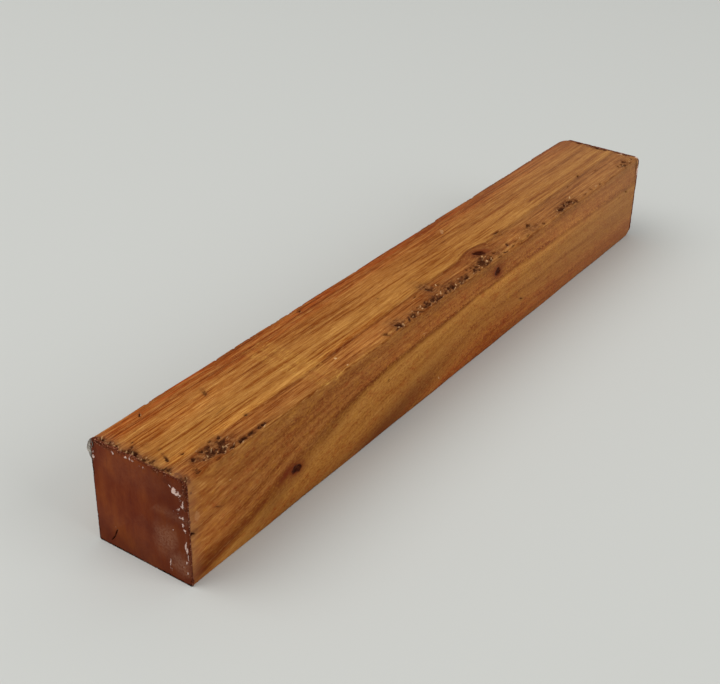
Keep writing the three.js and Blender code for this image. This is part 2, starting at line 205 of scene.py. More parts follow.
# Dirt on the surface, with no depth: along, across, half long, half wide, deep, turn, how dark
SMEARS = (
    (1.6, 28.4, 1.4, 2.4, 0, 20, 0.6), (1.4, 34.4, 1.3, 2.4, 0, -30, 0.8), (1.5, 22, 1.7, 2.6, 0, 0, 1),
    (1.3, 17.3, 1.2, 1.3, 0, 0, 0.6), (1.6, 2.2, 1.8, 1.9, 0, 0, 0.7), (1.3, 9.2, 1.3, 1.1, 0, 10, 0.7),
    (1, 12.8, 0.7, 1.2, 0, 0, 0.3), (7, 22, 1.6, 1.4, 0, 30, 0.35), (8.4, 17.5, 0.8, 0.6, 0, 0, 0.5),
    (7.3, 2.6, 2, 1.2, 0, 60, 0.6), (184.5, 8.2, 3.2, 1.7, 0, -20, 0.3), (303.2, 19, 0.9, 3, 0, 0, 0.6),
    (303.4, 9, 0.9, 4, 0, 0, 0.4), (303.3, -6, 0.8, 4, 0, 0, 0.4), (303.4, 34, 0.8, 3, 0, 0, 0.35),
    (176.6, 6, 2.6, 1.6, 0, 30, 0.5),
)
# Raised, pale splinters and scuffs: along, across, half long, half wide, high, turn, how pale
SPLINTERS = (
    (17.6, 5.7, 1.5, 0.25, 0.22, 32, 0.7), (21.6, 3.4, 1.6, 0.22, 0.22, -12, 0.8),
    (20.9, 0.7, 1.2, 0.2, 0.15, 0, 0.6), (36.3, 0.5, 1.1, 0.25, 0.2, 20, 0.9),
    (81.1, 6.6, 0.6, 0.5, 0.2, 0, 1), (80.3, 1, 0.5, 0.4, 0.2, 0, 1), (145.3, 8, 0.6, 0.4, 0.25, 50, 1),
    (141.4, 3.4, 0.9, 0.3, 0.2, 45, 0.8), (144.6, 2.1, 0.6, 0.25, 0.2, 30, 0.7),
    (154.4, 3.8, 0.5, 0.4, 0.2, 60, 0.7), (168.6, 3.2, 1, 0.3, 0.2, 50, 0.8),
    (174.1, 3.2, 0.9, 0.45, 0.3, 50, 1), (175.9, 6.3, 0.8, 0.4, 0.25, 45, 0.9),
    (176.6, 2.6, 0.7, 0.25, 0.2, 40, 0.8), (181.9, 3.2, 1.4, 0.2, 0.12, 30, 0.5),
    (208, 3.8, 1.6, 0.3, 0.12, 26, 0.4), (226, 1.1, 1.4, 0.3, 0.15, 5, 0.5),
    (245.6, 4.8, 1.5, 0.4, 0.25, 28, 0.8), (248.5, 1.2, 1.6, 0.3, 0.15, 4, 0.4),
    (255.3, 1.3, 1.5, 0.5, 0.2, -12, 0.5), (263.3, 1.3, 1.4, 0.5, 0.2, 10, 0.6),
    (278.3, 1, 2.9, 0.35, 0.15, 3, 0.4), (270.8, 1.7, 0.9, 0.25, 0.1, 25, 0.35),
    (185, 30.2, 2.2, 0.9, 0.03, 35, 0.6), (4, -14, 1.4, 2.4, 0, 10, 0.5),
    (17.5, -12, 1.6, 1.8, 0, 0, 0.3), (125.8, -8.9, 1.9, 0.15, 0.06, -12, 0.8),
    (137.8, -33.5, 1.1, 0.3, 0.08, -55, 0.8), (19, -9.7, 0.5, 0.3, 0.08, 0, 0.7),
    (303, -1.6, 0.6, 1.2, 0.1, 0, 0.7), (302.6, 8.6, 0.6, 1.6, 0.1, 20, 0.7),
    (300.6, 5.6, 1.2, 0.4, 0.1, 40, 0.35),
    # crumbs of wax along the marked end's top edge
    (1.2, 26.5, 0.7, 0.3, 0.2, 40, 0.6), (1.6, 24.8, 0.4, 0.3, 0.2, 0, 0.8),
    (1.1, 21.2, 0.35, 0.3, 0.25, 0, 1), (2.4, 22.9, 0.5, 0.2, 0.15, 30, 0.7),
    (1, 19.4, 0.5, 0.3, 0.2, 0, 0.9), (1.3, 15.8, 0.6, 0.4, 0.2, 20, 0.5),
    (1, 12.6, 0.4, 0.5, 0.2, 0, 0.4), (1.2, 10.6, 0.5, 0.3, 0.2, 0, 0.5),
    (1.2, 6.5, 0.5, 0.4, 0.2, 0, 0.4), (2, 30.8, 0.8, 0.4, 0.15, 60, 0.4),
    (1.1, 32.6, 0.4, 0.4, 0.2, 0, 0.5), (1.4, 36, 0.4, 0.3, 0.2, 0, 0.5),
    # scratches along the top's back edge
    (112, 35.6, 3, 0.13, 0.03, 2, 0.6), (96, 36.2, 2.6, 0.13, 0.03, -2, 0.6),
    (84, 35.8, 2, 0.13, 0.03, 0, 0.5), (129, 36.4, 2.4, 0.12, 0.03, 1, 0.5),
    (151, 35.2, 2.2, 0.12, 0.03, -1, 0.4),
)

# Wax on the ends: how far it lies below the end's plane and above the wood, and the lap's usual reach
WAX_SUNK = 0.06
WAX_PROUD = 0.12
LAP_SHARE = 0.16
# Laps: across, half wide, reach, how pale
MARKED_LAPS = (
    (36.5, 2.6, 1.4, 0), (29, 1.8, 0.9, 0), (21.5, 3, 0.8, 0), (41, 3, 1.2, 0.1), (-37, 1.6, 0.8, 0),
    (-14, 1.6, 0.5, 0.3), (66, 5, 1.6, 0.1), (95, 6, 1.4, 0.1),
)
FAR_LAPS = (
    (1, 1.6, 0.5, 0.7), (-6, 3.6, 0.6, 0.75), (8.6, 1.7, 0.4, 0.5), (19, 3, 0.35, 0.3),
    (-19, 3, 0.3, 0.1), (-33, 3, 0.5, 0), (52, 7, 1.8, 0.3), (88, 5, 1.2, 0.2),
)
# Lumps: from the back (+Y) edge, from the top, half wide, half tall, high, turn, how pale
MARKED_LUMPS = (
    (33.2, 4.4, 1.1, 0.9, 0.42, 20, 1), (34.9, 4.9, 0.8, 0.7, 0.35, -20, 0.9),
    (31.9, 3.4, 0.5, 0.3, 0.2, 30, 0.7), (36.4, 8.1, 0.35, 0.95, 0.3, -8, 0.95),
    (35.9, 9.1, 0.5, 0.2, 0.2, 30, 0.7), (34.7, 10.7, 0.3, 0.45, 0.25, 20, 0.9),
    (36.3, 13, 0.4, 0.6, 0.3, 10, 0.95), (35.1, 13.4, 0.35, 0.3, 0.2, 0, 0.8),
    (34.5, 12.2, 0.3, 0.2, 0.2, 40, 0.6), (36, 15.7, 0.35, 0.5, 0.25, -15, 0.85),
    (36.6, 17.6, 0.4, 0.4, 0.25, 0, 0.8), (32, 19.3, 0.3, 0.25, 0.15, 0, 0.6),
    (36.9, 25, 0.45, 2.3, 0.3, -4, 1), (29.9, 32.5, 0.22, 1.5, 0.15, 4, 0.75),
    (30.3, 35.1, 0.2, 0.6, 0.12, -10, 0.6), (36.7, 29.5, 0.3, 0.5, 0.2, 10, 0.7),
    (35.3, 31.7, 0.3, 0.3, 0.15, 0, 0.6), (36.8, 33.6, 0.35, 0.6, 0.2, 0, 0.7),
    (0.7, 6.2, 0.35, 0.8, 0.3, 5, 0.95), (0.9, 4.3, 0.25, 0.4, 0.2, 0, 0.7),
    (9.2, 1.2, 0.5, 0.4, 0.25, 30, 0.8), (14.6, 0.6, 0.5, 0.25, 0.25, 10, 0.9),
    (16.2, 0.5, 0.3, 0.4, 0.2, -20, 0.8), (17.4, 0.8, 0.4, 0.25, 0.2, 20, 0.7),
    (19.8, 1.6, 0.6, 0.2, 0.2, -30, 0.7), (21.6, 1.4, 0.3, 0.3, 0.2, 0, 0.7),
    (27.2, 1.2, 0.3, 0.25, 0.2, 0, 0.5), (36.2, 2.6, 0.7, 0.5, 0.3, 30, 0.35),
    (35.6, 6.9, 0.4, 0.5, 0.2, 0, 0.5), (32.6, 12, 0.25, 0.2, 0.1, 0, 0.5),
    (8, 30.3, 0.3, 0.7, 0.12, -20, 0.5),
)
MARKED_SMUDGES = (
    (28.7, 24, 2.4, 2.6, 0, 0, 0.45), (34, 31.5, 2.2, 2, 0, 0, 0.45), (27, 27.5, 1.8, 2.2, 0, 0, 0.25),
    (15, 6, 7, 3, 0, 0, 0.1),
)
FAR_LUMPS = (
    (9.5, 6, 0.8, 1.6, 0.35, 10, 0.8), (24, 2, 1.3, 0.6, 0.3, -10, 0.7), (30, 1.2, 1.6, 0.5, 0.3, 4, 0.9),
    (36.6, 3, 0.5, 1.8, 0.3, 0, 0.9), (36.9, 14, 0.4, 1.2, 0.25, 0, 0.7), (13, 28, 0.7, 2.4, 0.3, 4, 0.6),
    (27, 35, 1.4, 0.6, 0.25, 0, 0.6), (2, 22, 0.5, 1.4, 0.25, 0, 0.6), (20, 16, 0.5, 0.9, 0.15, 20, 0.4),
)
FAR_SMUDGES = ((12, 12, 4, 5, 0, 20, 0.4), (27, 26, 5, 4, 0, -10, 0.35))
# Grooves, as lumps turned inwards: the end check, a notch by the flake, and two soft spots with no depth
MARKED_GROOVES = (
    (7.5, 32.1, 0.26, 1.9, 0.6, 24, 1), (6.1, 34.8, 0.22, 1.8, 0.6, 36, 1),
    (0.9, 1.7, 0.4, 1.2, 0.3, 6, 1), (1.2, 3, 1.2, 2.2, 0, 0, 0.4), (30.5, 2.6, 2.6, 1.2, 0, 10, 0.35),
)
# The crumbly bands of the marked end's wax, along its top edge and down the torn arris's side
CRUMBS_TOP = 1.7
CRUMBS_SIDE = 2.9
# The flake of wax at the back top corner of the marked end: down from the top, out past the back face
FLAKE = (
    (0.2, 0.2), (1.4, 1.1), (2.8, 1.8), (4, 2.2), (5.2, 2.4), (5.6, 1.5), (6.3, 1.3), (7.2, 0.7), (8, 0),
)
FLAKE_THICK = 0.16
# How far it curls at its widest, how far in its root starts, and how far behind the end's face it lies
FLAKE_CURL = 0.35
FLAKE_ROOT = 0.8
FLAKE_WIDEST = 2.4
FLAKE_BEHIND = 0.18
FLAKE_ROWS = 61
FLAKE_COLUMNS = 13
# Edge lengths of the wax's mesh, and how fast edges grow away from the rim, the lumps and the crumbly band
WAX_LONGEST = 1.1
RIM_EDGE = 0.36
RIM_BAND = 0.8
LUMP_EDGE = 0.2
BAND_EDGE = 0.34
WAX_GROWTH = 0.4
BACK_EDGE = 0.4
BACK_GROWTH = 0.6
# The film is made this thick and drawn to its place afterwards, and laps at least LEAST_LAP over the wood
SKIRT = 2.0
LEAST_LAP = 0.12

# Where growth rings run. Ring distance is the distance across the top from the torn arris, and two curves
# carry two of the rings down the front side: each point is along, depth.
BROWN_RING = 10.0
BROWN_RING_TOP = ((0, 8.2), (40, 8.6), (80, 9.4), (150, 11), (200, 12), (305, 12))
BROWN_RING_SIDE = (
    (0, 36.5), (20, 31.5), (30, 29.5), (38, 26.8), (46, 23), (54, 20.6), (66, 18.2), (82, 14.8), (96, 13),
    (126, 11.2), (151, 10.8), (167, 9.6), (187, 9.4), (207, 10.3), (258, 11), (305, 12),
)
SECOND_RING = 24.0
SECOND_RING_SIDE = (
    (0, 66), (60, 52), (90, 44), (114, 37), (130, 31.5), (148, 26), (162, 22.8), (178, 22), (200, 22.3),
    (240, 22.6), (305, 21.5),
)
# How rings bulge round the top knot and the upper side knot: along, in from the torn arris, half long,
# half wide, how far
KNOT_BULGES = ((177.0, 11.0, 7, 4, 3.2), (175.7, 8.5, 7, 3, 0.9))
BULGE_DEPTH = 6
CURVE_BLUR = 6

# Stains away from the knots: along, across, half long, half wide, slope, how strong
STAINS = (
    # the flare beside the lower knot, above the top knot, and at the foot of the marked end
    (45.4, -23.8, 4.6, 2.7, 0.5, 1), (166, 9.6, 11, 1.9, 0.12, 0.5), (2, -37, 6, 2.6, 0, 0.6),
)
# The stain round a knot: how strong, and its size in the knot's half sizes
KNOT_STAIN = (1.15, 2.1, 1.8)
# The stain along the brown ring down the side: how strong, half wide, and where it ends along the stick
RING_STAIN = (0.38, 1.3, 35, 80)


def smoothstep(low, high, value):
    t = np.clip((value - low) / (high - low), 0, 1)
    return t * t * (3 - 2 * t)


def curve(points, at):
    """Straight stretches through points, with their corners rounded off by averaging."""
    places, values = zip(*points)
    shifts = np.linspace(-CURVE_BLUR, CURVE_BLUR, 5)
    return np.mean([np.interp(at + shift, places, values) for shift in shifts], axis=0)


def noise(seed, *coordinates):
    """Smooth noise from -1 to 1 at each point, with cells of size 1."""
    grid = [np.floor(c).astype(np.int64) for c in coordinates]
    parts = [smoothstep(0, 1, c - g) for c, g in zip(coordinates, grid)]
    total = np.zeros(len(coordinates[0]))
    for corner in range(2 ** len(grid)):
        key = np.full(len(total), seed * 7919 + 17, np.int64)
        weight = np.ones(len(total))
        for axis, (g, t) in enumerate(zip(grid, parts)):
            step = corner >> axis & 1
            key = (key * 1103515245 + (g + step) * (2654435 + 40503 * axis) + 12345) & 0x7FFFFFFF
            key = (key ^ key >> 13) & 0x7FFFFFFF
            weight = weight * (t if step else 1 - t)
        key = (key * 668265263) & 0x7FFFFFFF
        total += weight * ((key ^ key >> 15) & 0xFFFF) / 0xFFFF
    return 2 * total - 1


def box_mesh(low, high, cells):
    """A closed box of triangles with the given number of cells along each side, faces out."""
    quads = []
    for axis in range(3):
        one, two = (axis + 1) % 3, (axis + 2) % 3
        a, b = np.meshgrid(np.arange(cells[one]), np.arange(cells[two]), indexing="ij")
        for level in (0, cells[axis]):
            corners = []
            for da, db in ((0, 0), (1, 0), (1, 1), (0, 1)):
                corner = np.zeros(a.shape + (3,), np.int64)
                corner[..., axis] = level
                corner[..., one] = a + da
                corner[..., two] = b + db
                corners.append(corner.reshape(-1, 3))
            quads.append(np.stack(corners if level else corners[::-1], axis=1))
    lattice, index = np.unique(np.concatenate(quads).reshape(-1, 3), axis=0, return_inverse=True)
    index = index.reshape(-1, 4)
    points = np.array(low) + lattice / np.array(cells) * (np.array(high) - np.array(low))
    return points, np.concatenate([index[:, [0, 1, 2]], index[:, [0, 2, 3]]])


def refined(points, triangles, target):
    """Halves edges, a triangle's longest first, until none is longer than target gives at its middle."""
    while True:
        ends = np.sort(triangles[:, [[0, 1], [1, 2], [2, 0]]].reshape(-1, 2), axis=1)
        keys, edge_of = np.unique(ends[:, 0] * len(points) + ends[:, 1], return_inverse=True)
        edge_of = edge_of.reshape(-1, 3)
        first, second = points[keys // len(points)], points[keys % len(points)]
        length = np.linalg.norm(second - first, axis=1)
        middle = (first + second) / 2
        split = length > target(middle)
        if not split.any():
            return points, triangles
        longest = length[edge_of].argmax(axis=1)
        longest_edge = edge_of[np.arange(len(edge_of)), longest]
        while True:
            needed = longest_edge[split[edge_of].any(axis=1)]
            if split[needed].all():
                break
            split[needed] = True
        new_index = np.full(len(keys), -1)
        new_index[split] = len(points) + np.arange(split.sum())
        points = np.concatenate([points, middle[split]])
        turn = (longest[:, None] + np.arange(3)) % 3
        v0, v1, v2 = np.take_along_axis(triangles, turn, axis=1).T
        m0, m1, m2 = np.take_along_axis(new_index[edge_of], turn, axis=1).T
        whole = m0 < 0
        near, far = ~whole & (m2 < 0), ~whole & (m1 < 0)
        near_cut, far_cut = ~whole & (m2 >= 0), ~whole & (m1 >= 0)
        triangles = np.concatenate([np.stack([a[at], b[at], c[at]], axis=1) for at, a, b, c in (
            (whole, v0, v1, v2),
            (near, v0, m0, v2),
            (near_cut, v0, m0, m2),
            (near_cut, m2, m0, v2),
            (far, m0, v1, v2),
            (far_cut, m0, v1, m1),
            (far_cut, m0, m1, v2),
        )])


def corner_radii(along):
    """The radii of the four long edges at each place along the stick."""
    marked = smoothstep(0, 1, 1 - along / MARKED_WEAR)
    far = 1 - np.sqrt(1 - np.clip((along - (LENGTH - WAX) + FAR_WEAR) / FAR_WEAR, 0, 1) ** 2)
    radii = []
    for soft, length, worn, knocked in zip(ARRIS_SOFT, WAVE_LENGTHS, MARKED_WORN, FAR_WORN):
        wave = 1 + ARRIS_WAVE * np.sin(2 * math.pi * along / length)
        radii.append(soft * wave + worn * marked + knocked * far)
    return radii


def off_corner(points, sideways, up):
    """How far points lie from one corner of the square section."""
    return np.hypot(HALF - sideways * points[:, 1], HALF - up * (points[:, 2] - HALF))


def section(y, z):
    """Points' places round the square section, their depths below the nearest side, and its normals."""
    depths = np.stack([SIDE - z, HALF - y, z, y + HALF])
    side = depths.argmin(axis=0)
    across = np.choose(side, [y + HALF, SIDE + SIDE - z, 2 * SIDE + HALF - y, z - SIDE])
    normal = np.array([(0, 1), (1, 0), (0, -1), (-1, 0)], float)[side]
    return across, depths.min(axis=0), normal


def rounded(y, z, radii):
    """Draws the square section's corners in to arcs. Gives the new y and z, and the normals on the arcs."""
    y, z = y.copy(), z.copy()
    normal = np.zeros((len(y), 2))
    for (sideways, up), r in zip(CORNERS, radii):
        a = sideways * y - (HALF - r)
        b = up * (z - HALF) - (HALF - r)
        inside = (a > TINY) & (b > TINY)
        a, b, r = a[inside], b[inside], r[inside]
        outer, inner = np.maximum(a, b), np.minimum(a, b)
        angle = math.pi / 4 * inner / outer
        angle = np.where(a >= b, angle, math.pi / 2 - angle)
        y[inside] = sideways * (HALF - r + outer * np.cos(angle))
        z[inside] = HALF + up * (HALF - r + outer * np.sin(angle))
        normal[inside] = np.stack([sideways * np.cos(angle), up * np.sin(angle)], axis=1)
    return y, z, normal


def apart(across, centre):
    """The difference of two places round the section, the short way."""
    return (across - centre + ROUND / 2) % ROUND - ROUND / 2


def spot_axes(along, across, at, over, turn):
    """Millimetres from a spot's middle, along its own length and across it."""
    du, dc = along - at, apart(across, over)
    turned = math.radians(turn)
    return du * math.cos(turned) + dc * math.sin(turned), dc * math.cos(turned) - du * math.sin(turned)


def mark_reach(spot):
    """How far a spot's mark and halo may reach from its middle."""
    return 3 * max(spot[2], spot[3]) + 1


def near_points(spots, along, reach):
    """Each spot, with the points that lie within its reach along the stick."""
    order = np.argsort(along, kind="stable")
    placed = along[order]
    for number, spot in enumerate(spots):
        low, high = np.searchsorted(placed, (spot[0] - reach(spot), spot[0] + reach(spot)))
        yield number, spot, order[low:high]


def spot_target(spots, along, across, finest, growth):
    """The edge length that the spots ask for at each point."""
    target = np.full(len(along), np.inf)
    fade = (LONGEST_EDGE - finest) / growth
    for _, spot, near in near_points(spots, along, lambda spot: SPOT_CORE * (spot[2] + spot[3]) + fade):
        at, over, long, wide, _, turn, _ = spot
        lengthways, sideways = spot_axes(along[near], across[near], at, over, turn)
        past_end = np.maximum(abs(lengthways) - SPOT_CORE * long, 0)
        past_side = np.maximum(abs(sideways) - SPOT_CORE * wide, 0)
        away = np.hypot(past_end, past_side)
        target[near] = np.minimum(target[near], finest + growth * away)
    return target


def press(spots, along, across, seed, ragged):
    """How far spots reach into the surface, their marks, the marks' halo, and a painted highlight along
    their lower lips.
    """
    depth, mark, halo, lip_highlight = np.zeros((4, len(along)))
    for number, spot, near in near_points(spots, along, mark_reach):
        at, over, long, wide, deep, turn, strength = spot
        near = near[np.hypot(along[near] - at, apart(across[near], over)) < mark_reach(spot)]
        if not len(near):
            continue
        lengthways, sideways = spot_axes(along[near], across[near], at, over, turn)
        floor = 1 + 0.3 * noise(seed + 500 + number, lengthways * 2.5, sideways * 3.5)
        lengthways, sideways = lengthways / long, sideways / wide
        edge = noise(seed + number, lengthways * 1.2 + 50, sideways * 1.2 + 50)
        edge += 0.6 * noise(seed + number, lengthways * 2.8 + 90, sideways * 2.8 + 90)
        reach = np.hypot(lengthways, sideways) + ragged * edge
        depth[near] = np.maximum(depth[near], deep * floor * smoothstep(1.1, 0.45, reach))
        mark[near] = np.maximum(mark[near], strength * smoothstep(1.3, 0.6, reach))
        halo[near] = np.maximum(halo[near], strength * smoothstep(2.9, 0.8, reach))
        # A painted highlight: a pale band on each spot's lower rim, where light would catch the far wall of
        # a pit
        rim = smoothstep(0.45, 0.05, abs(reach - 1.15)) * smoothstep(-0.1, -0.8, sideways)
        lip_highlight[near] = np.maximum(lip_highlight[near], strength * rim)
    return depth, mark, halo, lip_highlight


def scattered(ranges, seed):
    """Spots along the torn rows, with each measure drawn from its range."""
    chance = np.random.default_rng(seed)
    spots = []
    for start, end, low, high, count in TORN_ROWS:
        spans = ((start, end), (low, high), *ranges)
        spots += [tuple(chance.uniform(*span) for span in spans) for _ in range(count)]
    return tuple(spots)


def bell(first, second=0):
    """1 where both are nothing, and close to nothing where either is past 2."""
    return np.exp(-(first ** 2) - second ** 2)


def tone_patches(along, across):
    """How much lighter or darker the wood is at each point, as a share of its colour."""
    tone = np.zeros(len(along))
    for at, over, long, wide, turn, change in TONE_PATCHES:
        lengthways, sideways = spot_axes(along, across, at, over, turn)
        tone += change * bell(lengthways / long, sideways / wide)
    return tone


def ring_distance(along, y, z):
    """How far each point lies across the growth rings."""
    across_top = y + HALF
    below = SIDE - z
    brown_top = curve(BROWN_RING_TOP, along)
    over_top = np.where(
        across_top < brown_top,
        across_top * BROWN_RING / brown_top,
        across_top + (BROWN_RING - brown_top) * np.exp(-(across_top - brown_top) / BROWN_RING),
    )
    brown, second = curve(BROWN_RING_SIDE, along), curve(SECOND_RING_SIDE, along)
    down_side = np.where(
        below < brown,
        below * BROWN_RING / brown,
        BROWN_RING + (below - brown) * (SECOND_RING - BROWN_RING) / (second - brown),
    )
    down_side = np.where(below < second, down_side, SECOND_RING + below - second)
    ring = over_top + down_side
    for bulge, inwards, under in zip(KNOT_BULGES, (across_top, below), (below, across_top)):
        at, over, long, wide, far = bulge
        shallow = np.exp(-under / BULGE_DEPTH)
        ring -= far * shallow * bell((along - at) / long, (inwards - over) / wide)
    return ring


def mesh_object(name, points, triangles, attributes):
    """A smooth-shaded object of triangles, with a number of each kind at each point."""
    mesh = bpy.data.meshes.new(name)
    mesh.from_pydata((points / TO_MM).tolist(), [], triangles.tolist())
    mesh.shade_smooth()
    for key, values in attributes.items():
        layer = mesh.attributes.new(key, "FLOAT", "POINT")
        layer.data.foreach_set("value", values.astype(np.float32))
    piece = bpy.data.objects.new(name, mesh)
    bpy.context.scene.collection.objects.link(piece)
    return piece


def stains(along, across):
    """How stained the wood is at each point, round the knots and away from them."""
    stain = np.zeros(len(along))
    strength, longer, wider = KNOT_STAIN
    for at, over, long, wide, _, turn, _ in KNOTS:
        lengthways, sideways = spot_axes(along, across, at, over, turn)
        spread = bell(lengthways / (longer * long), sideways / (wider * wide))
        stain = np.maximum(stain, strength * spread)
    for at, over, long, wide, slope, strength in STAINS:
        off_line = apart(across, over) - slope * (along - at)
        stain = np.maximum(stain, strength * bell((along - at) / long, off_line / wide))
    strength, wide, full, end = RING_STAIN
    off_ring = (apart(across, 0) + curve(BROWN_RING_SIDE, along)) / wide
    return np.maximum(stain, strength * smoothstep(end, full, along) * bell(off_ring))


def wood_piece():
    """The wood, with its pits, knots, splinters and worn edges."""
    pits = PITS + END_CHIPS + scattered(SMALL_PITS, SEED)
    splinters = SPLINTERS + scattered(FIBRES, SEED + 1)
    spots = KNOTS + pits

    def target(at):
        along = at[:, 0] - MARKED_FACE
        across, depth, _ = section(at[:, 1], at[:, 2])
        ends = np.minimum(along - WAX, LENGTH - WAX - along)
        size = END_EDGE + END_GROWTH * np.maximum(ends - END_BAND, 0)
        for (sideways, up), finest in zip(CORNERS, ARRIS_EDGE):
            away = off_corner(at, sideways, up)
            size = np.minimum(size, finest + ARRIS_GROWTH * np.maximum(away - ARRIS_BAND, 0))
        size = np.minimum(size, spot_target(spots, along, across, SPOT_EDGE, PIT_GROWTH))
        size = np.minimum(size, spot_target(splinters, along, across, SPOT_EDGE, SPLINTER_GROWTH))
        return np.where(depth > HIDDEN_DEPTH, LONGEST_EDGE, np.minimum(size, LONGEST_EDGE))

    points, triangles = refined(*box_mesh(WOOD_LOW, WOOD_HIGH, (8, 1, 1)), target)
    x, y, z = points.T
    along = x - MARKED_FACE
    across, depth, flat_normal = section(y, z)
    y, z, normal = rounded(y, z, corner_radii(along))
    curved = np.linalg.norm(normal, axis=1, keepdims=True) > 0.5
    normal = np.where(curved, normal, flat_normal)

    pressed, dark, halo, lip_highlight = press(pits, along, across, SEED, 0.5)
    sunk, bed, dirt, _ = press(TORN_BEDS, along, across, SEED + 90, 0.45)
    dished, knot, _, _ = press(KNOTS, along, across, SEED + 150, 0.28)
    raised, pale, _, _ = press(splinters, along, across, SEED + 200, 0.25)
    _, smear, _, _ = press(SMEARS, along, across, SEED + 250, 0.5)
    # Besides the real splinters and fibres, pale takes a painted highlight along the pits' lower lips
    pale = np.maximum(pale, 0.8 * lip_highlight * smoothstep(-0.3, 0.5, noise(SEED + 70, along * 1.1, across * 1.1)))
    nicks, soiled_and_shaded = np.zeros((2, len(x)))
    for (sideways, up), soil_and_shade, nicked in zip(CORNERS, ARRIS_SOIL_AND_SHADE, ARRIS_NICKS):
        near = np.exp(-off_corner(points, sideways, up) ** 2 / ARRIS_SPREAD)
        seed = SEED + sideways + 3 * up
        wave = noise(seed + 3, along / 2.2) + 0.6 * noise(seed + 31, along / 0.8)
        nicks += near * nicked * np.maximum(wave - 0.35, 0)
        # Darkened edges: painted shade along the bottom edges where the stick meets the floor, and a dark
        # line along the top back edge
        soiled_and_shaded += soil_and_shade * near * smoothstep(-0.8, 0.1, wave) * smoothstep(*SOIL_AND_SHADE_STARTS, along)
    torn = sunk + BED_RELIEF * bed * noise(SEED + 61, along * 1.5, across * 2)
    wander = WANDER + WANDER * noise(SEED + 60, along / 30, across / 14)
    inwards = np.maximum.reduce([pressed, torn, dished]) + nicks - raised + wander
    inwards *= np.where(depth < TINY, 1, np.clip(1 - depth / INNER_REACH, 0, 1) ** 2)
    y = y - normal[:, 0] * inwards
    z = np.maximum(z - normal[:, 1] * inwards, 0)
    # The underside stays flat enough to rest on, but for its pits.
    sole = (normal[:, 1] < -0.9) & (pressed < SOLE)
    z = np.where(sole, np.minimum(z, SOLE), z)

    planed = smoothstep(-0.5, -1.5, across) * smoothstep(-SIDE - 1, -SIDE + 0.5, across)
    sway = 0.9 * noise(SEED + 63, along / 34, y / 8, z / 8)
    sideways = np.clip(y + sway * smoothstep(0, 4, y + HALF), -HALF, HALF)
    up = np.clip(z + sway * smoothstep(0, 4, SIDE - z), 0, SIDE)
    attributes = {
        "ring": ring_distance(along, sideways, up),
        "tone": 1 + tone_patches(along, across),
        "dark": dark,
        # The grime is dirt round the pits, on the torn ground and in smears, and painted shade along the
        # bottom edges
        "grime_and_shade": np.clip(np.maximum.reduce([0.75 * halo, 0.6 * bed, 0.5 * dirt, smear, soiled_and_shaded]), 0, 1),
        "torn": np.clip(bed + 0.35 * dirt, 0, 1),
        "knot": knot,
        "pale": pale,
        "stain": stains(along, across),
        "planed": planed,
    }
    return mesh_object("wood", np.stack([x, y, z], axis=1), triangles, attributes)


